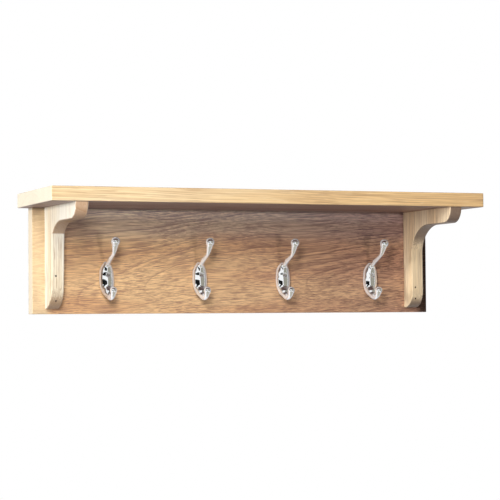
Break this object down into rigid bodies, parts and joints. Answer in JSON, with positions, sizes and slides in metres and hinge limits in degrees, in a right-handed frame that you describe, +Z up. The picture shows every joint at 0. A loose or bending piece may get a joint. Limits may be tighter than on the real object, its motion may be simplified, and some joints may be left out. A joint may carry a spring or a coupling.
{
  "type": "coat rack with shelf",
  "caption": "Wall coat rack in pale oak: a shelf on a back board and two shaped brackets, with a row of chrome double coat hooks on the board.",
  "frame": {"origin": "point on the wall midway between the two hanging screws, at the middle of their keyhole entries", "axes": "+X along the rack to the right of someone facing it, +Y into the wall, +Z up"},
  "size_m": [0.7, 0.196, 0.185],
  "materials": {
    "oak": "satin oil, straight and cathedral grain",
    "beech": "turned, unfinished",
    "chrome": "polished",
    "chrome_screw": "polished",
    "pin_steel": "darkened",
    "screw_steel": "zinc plated",
    "hanger_steel": "zinc plated"
  },
  "bodies": {
    "root": {"back_board": "oak", "board_dowels": "beech", "bracket_left": "oak", "bracket_pins_left": "pin_steel", "bracket_pins_right": "pin_steel", "bracket_right": "oak", "bracket_screws_left": "screw_steel", "bracket_screws_right": "screw_steel", "hanger_left": "hanger_steel", "hanger_right": "hanger_steel", "hanger_screws_left": "screw_steel", "hanger_screws_right": "screw_steel", "hook_1": "chrome", "hook_2": "chrome", "hook_3": "chrome", "hook_4": "chrome", "hook_screw_1": "chrome_screw", "hook_screw_2": "chrome_screw", "hook_screw_3": "chrome_screw", "hook_screw_4": "chrome_screw", "shelf": "oak", "shelf_dowels_left": "beech", "shelf_dowels_right": "beech"}
  },
  "joints": []
}
